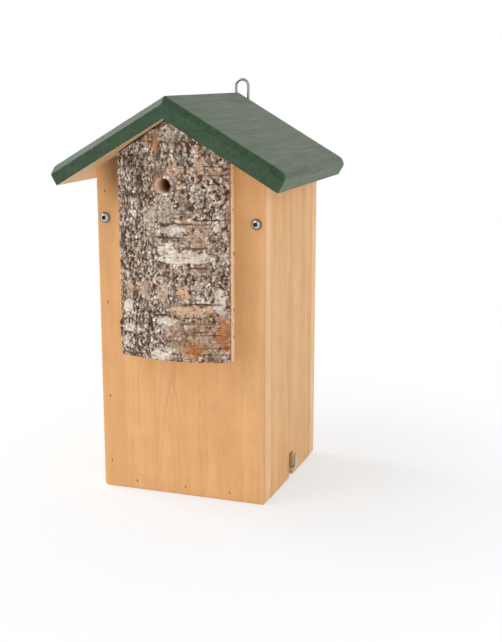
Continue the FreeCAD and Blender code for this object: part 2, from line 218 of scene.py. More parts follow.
# partly painted light: the board edges paler than the faces, their own tone lifted as the door's is
edgePine = stainedPine("board edge", (0, 0, 0), (60, 12), "#FCCE9A", "#E6B27E", "#F3C18C")
soffitPine = stainedPine("soffit", (90, 0, 0), (40, -300), "#DBBA90", "#C59E71", "#D2AE81")

roofCoat = {
    "grain": (2.2, 75, 2.2), "brush": (4.5, 75, 4.5),  # mm, lumps of noise
    "checks": (1.8, 20, 1.8), "clouds": 28,
    "paintedSkyLight": 0.56,  # share of the paler tone where the sky sees the coat: painted sky light and sheen, with some sun fading
}


def greenStain(name):
    # Pine under an opaque green wood stain, brushed on: dark and satin, paler on faces turned to the sky as
    # painted sky light and sheen with some sun fading, with the grain standing through the coat and short fine
    # checks in it
    material, tree, shader = newMaterial(name)
    coords = addNode(tree, "ShaderNodeTexCoord").outputs
    spot = coords["Object"]
    lines = noisy(tree, lumps(tree, spot, roofCoat["grain"]), 4.0)
    clouds = noisy(tree, spot, 3.0, perMetre / roofCoat["clouds"])
    streaks = noisy(tree, lumps(tree, spot, roofCoat["brush"]), 4.0, Roughness=0.65, Distortion=0.6)
    checks = noisy(tree, lumps(tree, spot, roofCoat["checks"]), 2.0)
    facing = axesOf(tree, coords["Normal"])
    sideways, endways = (calc(tree, "ABSOLUTE", facing[axis]) for axis in ("X", "Y"))
    skyward = calc(tree, "MULTIPLY_ADD", sideways, 1.4, facing["Z"])
    # painted shade: faces turned to the front and back, such as the rake bevels, are kept out of the painted
    # sky light
    exposed = calc(tree, "MULTIPLY_ADD", endways, -1.4, skyward)
    skyLightShare = ranged(tree, exposed, 0.3, 0.85, 0.0, roofCoat["paintedSkyLight"])
    paintedSkyLight = mixed(tree, skyLightShare, mixed(tree, clouds, "#263F27", "#365037"), "#5F6E4E")
    longways = ranged(tree, endways, 0.4, 0.9, 0.5, 0.12)  # less on end grain
    standing = mixed(tree, ranged(tree, lines, 0.5, 0.75, 0.0, longways), paintedSkyLight, "#5A6F54")
    stroke = ranged(tree, streaks, 0.36, 0.64, 0.8, 1.26)
    deepest = ranged(tree, skyLightShare, 0.0, roofCoat["paintedSkyLight"], 1.0, 0.62)
    check = ranged(tree, checks, 0.6, 0.7, 1.0, deepest)
    coated = calc(tree, "MULTIPLY_ADD", streaks, 1.5, lines)
    plug(tree, shader, {
        "Base Color": vectorCalc(tree, "MULTIPLY", standing, calc(tree, "MULTIPLY", stroke, check)),
        "Roughness": ranged(tree, clouds, 0.0, 1.0, 0.42, 0.56),
        "Normal": bumped(tree, coated, longways, 0.4), "IOR": 1.44})
    return material


roofGreen = greenStain("pine green stained roof")

barkGrain = {"wobble": 2.2, "scales": (1.6, 1.6, 2.5), "paper": (9, 9, 0.9)}  # mm


def birchBark(name):
    # Old birch bark: dry and chalky, pale scales over brown cracks, its colour laid down with the relief and
    # the finest scales drawn here
    material, tree, shader = newMaterial(name)
    laid, chip, even = (addNode(tree, "ShaderNodeAttribute", attribute_name=key).outputs
                        for key in ("barkColour", "flakeTone", "barkEven"))
    inMm = lumps(tree, objectSpot(tree), (1, 1, 1))
    wobble = noisy(tree, inMm, 2.0, 1 / barkGrain["wobble"], "Color")
    moved = vectorCalc(tree, "MULTIPLY_ADD", wobble, [barkGrain["wobble"]] * 3, inMm)
    cells = {"Vector": lumps(tree, moved, barkGrain["scales"], 1), "Scale": 1.0}
    scales = addNode(tree, "ShaderNodeTexVoronoi", cells).outputs["Color"]
    gaps = addNode(tree, "ShaderNodeTexVoronoi", cells, feature="DISTANCE_TO_EDGE").outputs["Distance"]
    tone = ranged(tree, axesOf(tree, scales)["X"], 0.0, 1.0, 0.72, 1.35)
    scaly = calc(tree, "MULTIPLY", tone, ranged(tree, gaps, 0.02, 0.18, 0.65, 1.06))
    calm = ranged(tree, even["Fac"], 0.0, 1.0, 1.0, 0.18)
    shown = addNode(tree, "ShaderNodeMix", {0: calm, 2: 1.0, 3: scaly}, data_type="FLOAT").outputs[0]
    layers = noisy(tree, lumps(tree, moved, barkGrain["paper"], 1), 3.0)
    both = calc(tree, "MULTIPLY", ranged(tree, layers, 0.3, 0.65, 0.72, 1.12), shown)
    flaked = mixed(tree, calc(tree, "MULTIPLY", chip["Fac"], 0.35), laid["Color"], "#E8DCCC")
    plug(tree, shader, {
        "Base Color": vectorCalc(tree, "MULTIPLY", flaked, both), "Normal": bumped(tree, both, 0.6, 0.4),
        "Roughness": 0.88, "Specular IOR Level": 0.25})
    return material


def sawnWood(name, pale, dark, layer, boreShade=None):
    # Bare wood as cut or drilled, or the red inner bark: matt, with fine layers along the trunk, and in the
    # entrance darker and browner towards the inside: painted shade
    material, tree, shader = newMaterial(name)
    spot = objectSpot(tree)
    lines = noisy(tree, lumps(tree, spot, (layer, layer, 30)), 3.0)
    colour = mixed(tree, lines, pale, dark)
    if boreShade:
        shadeStart, shadeFull, brown = boreShade  # y where the painted shade starts and where it is full, in mm, and its tint there
        inside = ranged(tree, axesOf(tree, spot)["Y"], shadeStart * mm, shadeFull * mm, 0.0, 1.0)
        colour = mixed(tree, inside, colour, brown, blend_type="MULTIPLY")
    plug(tree, shader, {"Base Color": colour, "Normal": bumped(tree, lines, 0.3, 0.2), "Roughness": 0.75})
    return material


bark = birchBark("birch bark weathered")
entrance = {"x": -5.6, "z": 314.6, "radius": 7.5, "shadeStart": -104.0, "shadeFull": -90.0}  # mm
# painted shade in the entrance: its wall darker and browner from the rim inwards
boreShadePainted = (entrance["shadeStart"], entrance["shadeFull"], "#B0784C")
innerBark = sawnWood("birch inner bark cut", "#C98A6C", "#A9664C", 0.8)
# painted light: the sawn wood's own pale tone lifted near white, so that the slab's side that faces right
# reads as lit
sapwood = sawnWood("birch sapwood sawn", "#FFF4DC", "#FFE6BE", 1.2)
# painted light: the drilled wall near white by the rim, as if lit; deeper in, the painted shade darkens it
drilledBirch = sawnWood("birch end grain drilled", "#FFF0DC", "#FFDCBC", 1.6, boreShadePainted)
drilledPine = sawnWood("pine end grain drilled", "#E8B27A", "#CF9358", 1.6, boreShadePainted)


# Steel

def zincPlate(name, colour, darker, low, high):
    # Steel with a thin zinc plating, or plain wire: grey, browner with age, softly bright, and cloudy where
    # handling has dulled it
    material, tree, shader = newMaterial(name)
    cloud = noisy(tree, objectSpot(tree), 3.0, perMetre / 2.5)  # 2.5 mm clouds
    plug(tree, shader, {
        "Base Color": mixed(tree, cloud, colour, darker),
        "Roughness": ranged(tree, cloud, 0.3, 0.7, low, high),
        "Normal": bumped(tree, cloud, 0.1, 0.05), "Metallic": 1.0})
    return material


zincSteel = zincPlate("zinc plated steel", "#D6D6D3", "#B2B4B3", 0.22, 0.36)
# painted shade and painted reflection of the wood: the washers' steel made brown-grey and dark
washerPaintedShade = zincPlate("zinc plated washer steel with painted shade and reflection", "#867B6C", "#625A50", 0.34, 0.5)
socketSteel = zincPlate("zinc plated steel in shade of the socket", "#4C4D4A", "#343533", 0.35, 0.5)
wireSteel = zincPlate("zinc plated steel wire", "#B4B4B1", "#8C8D8B", 0.22, 0.34)
hookSteel = zincPlate("zinc plated steel gone chalky", "#DCD7CC", "#C2BDB2", 0.5, 0.65)
dullSteel = zincPlate("bright wire gone dull", "#5A4A3D", "#3A2F27", 0.5, 0.7)
print("materials ready")


# Shared makers

def newPiece(name, mesh, *finishes):
    piece = bpy.data.objects.new(name, mesh)
    scene.collection.objects.link(piece)
    for finish in finishes:
        mesh.materials.append(finish)
    return piece


def meshFrom(sheet, name):
    mesh = bpy.data.meshes.new(name)
    sheet.to_mesh(mesh)
    sheet.free()
    return mesh


def smoothed(mesh, degrees, broad):  # faces that lie as a broad one does, in square mm, stay flat
    def way(face):
        return tuple(round(c, 2) for c in face.normal)

    flat = {way(face) for face in mesh.polygons if face.area > broad * mm * mm}
    mesh.set_sharp_from_angle(angle=math.radians(degrees))  # this clears flat faces, so they come after it
    mesh.polygons.foreach_set("use_smooth", [way(face) not in flat for face in mesh.polygons])


def settled(piece):  # modifiers turned into plain mesh
    graph = bpy.context.evaluated_depsgraph_get()
    mesh = bpy.data.meshes.new_from_object(piece.evaluated_get(graph))
    piece.modifiers.clear()
    piece.data = mesh
    return piece


def newTree(name, numbers, **others):  # its inputs are numbers, and others by kind of socket
    tree = bpy.data.node_groups.new(name, "GeometryNodeTree")
    kinds = {"Geometry": "Geometry", **{key: "Float" for key in numbers.split()}, **others}
    for key, kind in kinds.items():
        tree.interface.new_socket(key, in_out="INPUT", socket_type="NodeSocket" + kind)
    tree.interface.new_socket("Geometry", in_out="OUTPUT", socket_type="NodeSocketGeometry")
    return tree, tree.nodes.new("NodeGroupInput").outputs, tree.nodes.new("NodeGroupOutput").inputs


def build(tree, kind, inputs=None, **settings):  # a geometry node, by its first output
    return addNode(tree, "GeometryNode" + kind, inputs, **settings).outputs[0]


def namedValue(tree, name, kind):
    return build(tree, "InputNamedAttribute", {"Name": name}, data_type=kind)


def copiesAt(tree, points, shape):  # a real copy at each point, turned the way the point faces
    aim = namedValue(tree, "aim", "FLOAT_VECTOR")
    turned = addNode(tree, "FunctionNodeAlignRotationToVector", {"Vector": aim}, axis="Z").outputs[0]
    row = build(tree, "InstanceOnPoints", {"Points": points, "Instance": shape, "Rotation": turned})
    return build(tree, "RealizeInstances", {"Geometry": row})


def finished(tree, result, geometry, finish, **where):  # the last step of a tree
    done = build(tree, "SetMaterial", {"Geometry": geometry, "Material": finish, **where})
    tree.links.new(done, result[0])
    return tree


def runTree(piece, tree, lengths, **others):  # inputs set by identifier, lengths in mm, then made plain
    modifier = piece.modifiers.new(tree.name, "NODES")
    modifier.node_group = tree
    named = {item.name: item.identifier for item in tree.interface.items_tree if item.in_out == "INPUT"}
    values = {key: length * mm for key, length in lengths.items()}
    for name, value in {**values, **others}.items():
        modifier[named[name]] = value
    return settled(piece)


def skinOf(node):  # CAD triangles joined into one skin
    sheet = bmesh.new()
    sheet.from_mesh(nodes[node].data)
    bmesh.ops.remove_doubles(sheet, verts=sheet.verts, dist=hair)
    return sheet


def solidsOf(node):  # corner points of each separate solid in a CAD node
    sheet = skinOf(node)
    left, solids = set(sheet.verts), []
    while left:
        reach, island = [left.pop()], []
        while reach:
            corner = reach.pop()
            island.append(corner.co.copy())
            for edge in corner.link_edges:
                other = edge.other_vert(corner)
                if other in left:
                    left.remove(other)
                    reach.append(other)
        solids.append(island)
    sheet.free()
    return solids


def middleOf(points):
    return sum(points, Vector()) / len(points)


def endOf(solid, aim):  # middle of a fastener's outermost end
    furthest = max(point.dot(aim) for point in solid)
    return middleOf([point for point in solid if furthest - point.dot(aim) < flush])


def pointSet(name, places, aim):  # loose points that carry the way each fastener faces
    mesh = bpy.data.meshes.new(name)
    mesh.from_pydata(places, [], [])
    facing = mesh.attributes.new("aim", "FLOAT_VECTOR", "POINT")
    for value in facing.data:
        value.vector = aim
    return newPiece(name, mesh)


# Brads: T heads set a little below the wood, in slits that the gun left

bradSizes = {  # mm
    "width": 1.2, "headLength": 2.6, "headThickness": 1.0, "length": 36.0, "sunk": 0.9, "slitGap": 0.12,
}
toFront, toBack = Vector((0, -1, 0)), Vector((0, 1, 0))
roofPitch = math.radians(30)
toRight = Vector((math.sin(roofPitch), 0, math.cos(roofPitch)))
toLeft = Vector((-math.sin(roofPitch), 0, math.cos(roofPitch)))
bradRows = {
    "front_side_brads": toFront, "front_floor_brads": toFront, "back_side_brads": toBack,
    "back_floor_brads": toBack, "roof_brads_left": toLeft, "roof_brads_right": toRight,
}
bradTops = {row: [endOf(solid, aim) for solid in solidsOf(row)] for row, aim in bradRows.items()}


def bradTree():
    tree, given, result = newTree("brads", "width head thickness length", finish="Material")
    brad = addNode(tree, "GeometryNodeMeshBoolean", operation="UNION")
    for sizes in (("width", "head", "thickness"), ("width", "width", "length")):  # head, then shank
        wide, deep, high = (given[size] for size in sizes)
        block = build(tree, "MeshCube", {"Size": triple(tree, wide, deep, high)})
        drop = triple(tree, 0, 0, calc(tree, "MULTIPLY", high, -0.5))
        put = build(tree, "Transform", {"Geometry": block, "Translation": drop})
        tree.links.new(put, brad.inputs["Mesh 2"])
    return finished(tree, result, copiesAt(tree, given["Geometry"], brad.outputs[0]), given["finish"])


bradMaker = bradTree()
for row, aim in bradRows.items():
    piece = pointSet(row + "_set", [top - aim * bradSizes["sunk"] * mm for top in bradTops[row]], aim)
    runTree(piece, bradMaker, {
        "width": bradSizes["width"], "head": bradSizes["headLength"], "thickness": bradSizes["headThickness"],
        "length": bradSizes["length"] - bradSizes["sunk"]}, finish=dullSteel)
    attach(piece, "box")
    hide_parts(row)
print("brads set")


# Boards of the box

boardWork = {
    "arris": 0.7, "arrisSteps": 3, "arrisAngle": 50,  # mm, and the degrees from which an edge is eased
    "round": 2.0, "roundSteps": 4, "corner": 3.5, "cornerSteps": 6, "spare": 5.0,  # mm, front and back panels
    "slitDepth": 1.0, "flatAngle": 0.2,  # mm, and the degrees up to which CAD triangles are one face
    "boreReach": 1.1, "boreTilt": 0.5, "edgeOn": 0.9,  # radii, then shares of a face's normal
    "smoothAngle": 35, "broad": 400,  # degrees, square mm
}


def slitTree():
    tree, given, result = newTree("brad slits", "width head depth", board="Object", finish="Material")
    twice = calc(tree, "MULTIPLY", given["depth"], 2.0)
    slit = build(tree, "MeshCube", {"Size": triple(tree, given["width"], given["head"], twice)})
    board = addNode(tree, "GeometryNodeObjectInfo", {"Object": given["board"]}, transform_space="ORIGINAL")
    cut = build(tree, "MeshBoolean", {
        "Mesh 1": board.outputs["Geometry"], "Mesh 2": copiesAt(tree, given["Geometry"], slit)},
        operation="DIFFERENCE", solver="EXACT")
    return finished(tree, result, cut, given["finish"])


slitMaker = slitTree()


def rounded(sheet, edges, kind):
    bmesh.ops.bevel(sheet, geom=edges, offset=boardWork[kind] * mm, offset_type="OFFSET",
                    segments=boardWork[kind + "Steps"], profile=0.5, affect="EDGES")


def roundedBlank(node, aim):  # a hair larger than the panel, its outer arris and lower corners rounded
    low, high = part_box(node)
    spare = boardWork["spare"] * mm
    outer = (low.y if aim.y < 0 else high.y) + aim.y * hair
    inner = (high.y if aim.y < 0 else low.y) - aim.y * spare
    sheet = bmesh.new()
    bmesh.ops.create_cube(sheet, size=1.0)
    for vert in sheet.verts:
        vert.co.x = high.x + hair if vert.co.x > 0 else low.x - hair
        vert.co.y = outer if vert.co.y * aim.y > 0 else inner
        vert.co.z = high.z + spare if vert.co.z > 0 else low.z - hair
    rounded(sheet, [edge for edge in sheet.edges if abs(edge.verts[0].co.y - edge.verts[1].co.y) > spare
                    and edge.verts[0].co.z < 0], "corner")
    rounded(sheet, [edge for edge in sheet.edges if all(abs(vert.co.y - outer) < hair for vert in edge.verts)
                    and not all(vert.co.z > high.z for vert in edge.verts)], "round")
    bmesh.ops.recalc_face_normals(sheet, faces=sheet.faces)
    return newPiece(node + "_blank", meshFrom(sheet, node + "_blank"))


def dressedBoard(node, body, finish, rows=(), aim=None):  # with an aim, rounded, slit and edged
    sheet = skinOf(node)
    oneFace = math.radians(boardWork["flatAngle"])
    bmesh.ops.dissolve_limit(sheet, angle_limit=oneFace, verts=sheet.verts, edges=sheet.edges)
    board = newPiece(node + "_board", meshFrom(sheet, node + "_board"), finish)
    if aim:
        blank = roundedBlank(node, aim)
        trim = board.modifiers.new("rounding", "BOOLEAN")
        trim.operation = "INTERSECT"
        trim.solver = "EXACT"
        trim.object = blank
        settled(board)
        bpy.data.objects.remove(blank)
        slits = pointSet(node + "_slitted", [top for row in rows for top in bradTops[row]], aim)
        runTree(slits, slitMaker, {
            "width": bradSizes["width"] + bradSizes["slitGap"], "depth": boardWork["slitDepth"],
            "head": bradSizes["headLength"] + bradSizes["slitGap"]}, board=board, finish=finish)
        bpy.data.objects.remove(board)
        board = slits
        board.data.materials.append(edgePine)
        board.data.materials.append(drilledPine)
        bore = boardWork["boreReach"] * entrance["radius"] * mm
        for face in board.data.polygons:
            off = math.hypot(face.center.x - entrance["x"] * mm, face.center.z - entrance["z"] * mm)
            drilled = abs(face.normal.y) < boardWork["boreTilt"] and off < bore
            face.material_index = 2 if drilled else 1 if abs(face.normal.x) > boardWork["edgeOn"] else 0
    else:
        bevel = board.modifiers.new("arris", "BEVEL")
        bevel.width = boardWork["arris"] * mm
        bevel.segments = boardWork["arrisSteps"]
        bevel.limit_method = "ANGLE"
        bevel.angle_limit = math.radians(boardWork["arrisAngle"])
        settled(board)
    low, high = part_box(node)
    for vert in board.data.vertices:  # never outside the CAD board
        vert.co = [min(max(c, a), b) for c, a, b in zip(vert.co, low, high)]
    smoothed(board.data, boardWork["smoothAngle"], boardWork["broad"])
    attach(board, body)
    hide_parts(node)


dressedBoard("front_panel", "box", frontPine, ("front_side_brads", "front_floor_brads"), toFront)
dressedBoard("back_panel", "box", backPine, ("back_side_brads", "back_floor_brads"), toBack)
dressedBoard("left_side_panel", "box", leftPine)
dressedBoard("right_side_door", "door", doorPine)
dressedBoard("floor_panel", "box", floorPine)
print("boards eased and slit")


# Roof boards: the grain stands a little through the coat, and each brad leaves a dent

roofWork = {
    "thickness": 18.0, "nose": 8.0, "bevel": 6.0,  # mm, as the CAD boards
    "clear": 0.03, "step": 1.5, "station": 5.0,  # mm inside the CAD box, between rows, and along a row
    "grain": (2.4, 85), "broadGrain": (6.5, 160), "grainDepth": 0.22,  # mm across and along, and deep
    "dentDepth": 0.7, "dentRadius": 1.7,
    "mitreWidth": 0.6, "mitreDrop": 0.45, "arris": 0.9,  # the sharp edges, rubbed back
    "noseTurn": 10, "rampShares": (0.35, 0.7),  # degrees between rows round the eave, points on the bevel
    "smoothAngle": 38, "broad": 12,  # degrees, square mm
}


def stationsBetween(start, end, step):
    count = max(2, round((end - start) / step))
    return [start + (end - start) * i / count for i in range(count + 1)]


def roofBoard(node, side, dents):
    low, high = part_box(node)
    thick, nose, bevel, soft = (roofWork[key] for key in ("thickness", "nose", "bevel", "arris"))
    sine, cosine, lean = math.sin(roofPitch), math.cos(roofPitch), math.tan(roofPitch)
    reach = max(abs(low.x), abs(high.x)) / mm - roofWork["clear"]
    length = (reach - nose - (thick - nose) * sine) / cosine + nose  # underside, ridge to eave
    apex = high.z / mm - thick / cosine
    front, back = low.y / mm, high.y / mm
    rows = stationsBetween(-thick * lean, length - nose, roofWork["step"])
    rows.insert(1, rows[0] + roofWork["mitreWidth"])
    turns = range(roofWork["noseTurn"], 91, roofWork["noseTurn"])
    rows += [length - nose * (1 - math.sin(math.radians(turn))) for turn in turns]
    flats = stationsBetween(front + bevel + soft, back - bevel - soft, roofWork["station"])
    slope = [bevel * share for share in roofWork["rampShares"]]
    ramp = [0.0, soft / 2, *slope, bevel - soft, bevel - soft / 3, bevel + soft / 3]
    stations = [front + r for r in ramp] + flats + [back - r for r in reversed(ramp)]

    def eaveDrop(inside):  # how far the rounded edge falls, this far in from the edge
        gap = max(0.0, nose - inside)
        return nose - math.sqrt(max(0.0, nose ** 2 - gap ** 2))

    def rakeDrop(inside):  # the flat bevel, its upper arris eased
        gap = bevel - inside
        return (gap + math.hypot(gap, soft / 2)) / 2

    def grainAt(s, y, kind, shift, layer):
        across, along = roofWork[kind]
        return noise.noise(Vector((s / across + shift, y / along, layer)))

    def place(s, t, y):
        return (side * (s * cosine + t * sine) * mm, y * mm, (apex - s * sine + t * cosine) * mm)

    centres = []
    for dent in dents:
        x, z = side * dent.x / mm, dent.z / mm - apex
        centres.append((x * cosine - z * sine, dent.y / mm))
    top, bottom = [], []
    for s in rows:
        share = (s + thick * lean) / (length + thick * lean)
        for y in stations:
            fall = max(eaveDrop(length - s), rakeDrop(y - front), rakeDrop(back - y))
            grain = 0.5 + 0.5 * grainAt(s, y, "grain", 40 * side, 0.3)
            grain += 0.5 * grainAt(s, y, "broadGrain", 0, 7.1 + side)
            fall += roofWork["grainDepth"] * max(0.0, grain)
            fall += roofWork["mitreDrop"] if s == rows[0] else 0.0
            for dentS, dentY in centres:
                far = math.hypot(s - dentS, y - dentY) / roofWork["dentRadius"]
                fall += roofWork["dentDepth"] * math.exp(-far * far)
            t = thick - fall
            top.append(place(share * (length + t * lean) - t * lean, t, y))
            bottom.append(place(share * length, 0.0, y))
    width, count, last = len(stations), len(top), len(rows) - 1
    faces, kinds = [], []
    for i in range(last):
        for j in range(width - 1):
            a, d = i * width + j, (i + 1) * width + j
            faces += [(a, a + 1, d + 1, d), (d + count, d + 1 + count, a + 1 + count, a + count)]
            kinds += [0, 1]
    rim = list(range(width)) + [i * width + width - 1 for i in range(1, last + 1)]
    rim += [last * width + j for j in range(width - 2, -1, -1)] + [i * width for i in range(last - 1, 0, -1)]
    for a, b in zip(rim, rim[1:] + rim[:1]):
        faces.append((b, a, a + count, b + count))
        kinds.append(0)
    mesh = bpy.data.meshes.new(node + "_board")
    mesh.from_pydata(top + bottom, [], faces)
    mesh.polygons.foreach_set("material_index", kinds)
    piece = newPiece(node + "_board", mesh, roofGreen, soffitPine)
    sheet = bmesh.new()
    sheet.from_mesh(mesh)
    bmesh.ops.recalc_face_normals(sheet, faces=sheet.faces)
    sheet.to_mesh(mesh)
    sheet.free()
    smoothed(mesh, roofWork["smoothAngle"], roofWork["broad"])
    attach(piece, "box")
    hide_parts(node)


roofBoard("roof_board_left", -1, bradTops["roof_brads_left"])
roofBoard("roof_board_right", 1, bradTops["roof_brads_right"])
print("roof boards made")


# Bark slab: x and z in mm from the box's middle and underside

barkWork = {
    "step": 0.55,  # mm between relief points
    "layer": 4.2,  # bark over the wood, mm
    "seed": 11.0,
    "scaleSize": (2.3, 3.3), "plate": (4.0, 4.8),  # across, up
    "gapDepth": 0.8, "crackDepth": 0.9, "liftRange": 0.5, "tilt": 0.5,
    "lowest": -2.3, "highest": 0.55,  # limits of the relief
    "raggedFoot": 1.1, "raggedLeft": 1.5, "raggedRight": 0.6, "raggedReach": 5.0,  # edges that waver
    "lipTop": 180.0, "lipFoot": 153.0, "lipReach": 2.4,  # torn bark that sticks out at the left edge
    "roofGap": 1.3,  # a dark line under the roof
    "fissureDepth": 1.5, "fissureWidth": 3.4,
    "patchReach": 1.7, "patchPower": 2.6,  # how far past its size a patch may run, and how square it is
    "crackShare": 0.85, "deepShare": 0.8, "lineShare": 0.7, "blush": 0.08,  # how far colours are changed
    "edge": 13.0,  # thickness at the long edges, mm
    "sharp": 40,  # degrees from which the sawn edges are sharp
    "holeReach": 2.0, "boreReach": 1.5,  # radii of the entrance within which its rim and its wall lie
}
barkTones = {
    "crack": "#4A382B", "gap": "#7A614A", "grey": "#C4A385", "cream": "#ECD1B9", "chalk": "#FFF0E3",
    "line": "#6A4030",
}
patchKinds = {  # colour, how smooth, mm that it stands proud, how softly it fades out
    "papery": ("#DDCBB7", 0.42, 0.4, 0.15), "white": ("#F4E3D3", 0.8, 0.6, 0.12),
    "pink": ("#D0A98E", 0.4, 0.0, 0.4), "peach": ("#E9BD95", 0.8, -0.2, 0.25),
    "tan": ("#C99F80", 0.7, 0.1, 0.3), "orange": ("#C47A42", 0.75, -0.5, 0.5),
    "brown": ("#B38661", 0.5, -0.3, 0.55), "dark": ("#6A5745", 0.4, -0.8, 0.3),
    "plate": ("#CFAE95", 0.62, 0.3, 0.2),
}
barkPatches = [  # kind, middle x and z, half width and height
    ("papery", 4, 361, 5, 12), ("dark", 10, 356, 2.4, 9), ("orange", -13.2, 354, 3.8, 9),
    ("peach", -23, 357, 2, 6), ("tan", 29.5, 337, 4.5, 10), ("pink", 42, 327, 11, 4),
    ("tan", -11, 316, 4.5, 8), ("pink", 2, 328, 14, 5), ("papery", -6, 290, 14, 9),
    ("papery", -19, 284, 8, 10), ("dark", 15, 292, 4, 8), ("pink", 22, 279, 12, 4),
    ("white", 3, 273, 15, 4), ("papery", -17, 265, 7, 9), ("white", -3, 256, 9, 5),
    ("white", 13, 247, 25, 6), ("pink", 28, 264, 13, 10), ("dark", 5, 265, 15, 2), ("pink", 30, 235, 10, 4),
    ("plate", -45, 213, 5, 9), ("plate", -27, 213, 5.5, 10), ("plate", -8, 213, 6, 8),
    ("peach", 13.5, 213.5, 6, 6.5), ("peach", 20, 196.5, 20, 4.5), ("white", 48, 206, 5, 12),
    ("brown", 31, 169, 27, 20), ("white", -5, 185, 8, 5), ("white", -44, 174, 13, 4),
    ("white", -47, 197, 6, 6), ("white", -51, 161, 6, 6), ("white", -11, 151, 11, 4),
    ("orange", 24, 157, 9, 7), ("orange", 52, 177, 7, 15), ("pink", 2, 174, 8, 8), ("pink", 40, 165, 6, 6),
    ("papery", -57, 265, 2.5, 18), ("pink", -56, 222, 2, 10),
]
barkLines = [  # left end, right end, height, half thickness: cracks round the trunk
    (26, 57, 345, 0.6), (28, 57, 325, 0.5), (-40, -20, 342, 0.7), (-10, 42, 279.5, 0.6), (22, 56, 283, 0.6),
    (-22, 5, 266, 0.8), (8, 41, 256.5, 0.7), (15, 40, 237, 0.6), (-11, 18, 229, 0.6), (13, 52, 203, 0.8),
    (-22, 5, 191, 0.9), (9, 45, 184, 0.5), (9, 49, 173, 0.6), (28, 56, 160, 0.6), (-16, 12, 166, 0.6),
]
barkFissures = [  # middle across and up from the foot, length, lean in degrees, as the CAD slab has them
    (-48, 188, 26, 4), (-38, 172, 30, -6), (-20, 194, 26, 5), (-27, 161, 28, 8), (-49, 152, 30, -3),
    (-34, 134, 30, 6), (-50, 118, 28, 4), (-29, 106, 32, -5), (-43, 91, 30, 7), (-36, 65, 30, -12),
    (-50, 62, 26, 9), (-18, 66, 24, 22), (0, 66, 26, -4), (-37, 34, 28, 6), (-22, 24, 30, -8),
    (21, 75, 28, -3), (41, 76, 26, 5), (20, 160, 28, -6), (35, 155, 24, 8), (9, 203, 24, -5),
    (44, 187, 30, 92), (46, 171, 28, 87), (38, 137, 30, 91), (14, 133, 30, 89), (-3, 120, 28, 93),
    (25, 110, 30, 88), (31, 92, 26, 92), (32, 57, 30, 90), (-7, 45, 28, 88), (24, 43, 30, 92),
    (30, 30, 30, 87), (37, 8, 30, 91),
]
slabLow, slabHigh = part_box("bark_slab")
slabLeft, slabRight = slabLow.x / mm, slabHigh.x / mm
slabFoot, slabPeak = slabLow.z / mm, slabHigh.z / mm
slabCrown, slabBack = slabLow.y / mm, slabHigh.y / mm
slabMiddle = (slabLeft + slabRight) / 2
slabSag = slabBack - slabCrown - barkWork["edge"]
slabBow = (((slabRight - slabLeft) / 2) ** 2 + slabSag ** 2) / (2 * slabSag)  # radius of the round front


def ease(low, high, value):
    share = min(1.0, max(0.0, (value - low) / (high - low)))
    return share * share * (3 - 2 * share)


def blend(a, b, share):
    return [p + (q - p) * share for p, q in zip(a, b)]


def roughAt(x, y, z):
    return noise.noise(Vector((x, y, z)))


def plates(x, z, size, seed):  # nearness to a crack, a number of its own and a slant for the plate at a point
    spot = Vector((x / size[0], z / size[1], seed))
    near, middles = noise.voronoi(spot)
    away = spot - middles[0]
    slant = away.x * noise.cell(middles[0] * 5.1) + away.y * noise.cell(middles[0] * 3.7)
    return near[1] - near[0], 0.5 + 0.5 * noise.cell(middles[0] * 7.3), slant


tones = {name: linear(tone)[:3] for name, tone in barkTones.items()}
patchColours = {name: linear(kind[0])[:3] for name, kind in patchKinds.items()}


def fissureAt(x, z):  # how deep a point lies in one of the main fissures, 0 beside them
    cut = 0.0
    for across, up, length, lean in barkFissures:
        awayX, awayZ = x - slabMiddle - across, z - slabFoot - up
        if max(abs(awayX), abs(awayZ)) < length / 2 + 1:
            turn = math.radians(lean)
            along = awayZ * math.cos(turn) + awayX * math.sin(turn)
            beside = awayX * math.cos(turn) - awayZ * math.sin(turn)
            taper = 1 - (2 * along / length) ** 2
            if taper > 0:
                ragged = 0.75 + 0.5 * roughAt(along / 4, across, up)
                cut = max(cut, taper * ragged - 2 * abs(beside) / barkWork["fissureWidth"])
    return cut


def lineAt(x, z, warp):  # how far a point lies in a crack round the trunk
    deepest = 0.0
    for left, end, height, half in barkLines:
        if left - 2 < x < end + 2 and abs(z - height) < 4:
            away = abs(z - height - 1.2 * roughAt(x / 9, height, 2.0) - 0.3 * warp)
            ends = min(ease(left - 2, left + 4, x), 1 - ease(end - 4, end + 2, x))
            broken = ease(-0.45, -0.1, roughAt(x / 5, height * 3, 8.0))
            deepest = max(deepest, (1 - ease(0.5 * half, 1.6 * half, away)) * ends * broken)
    return deepest


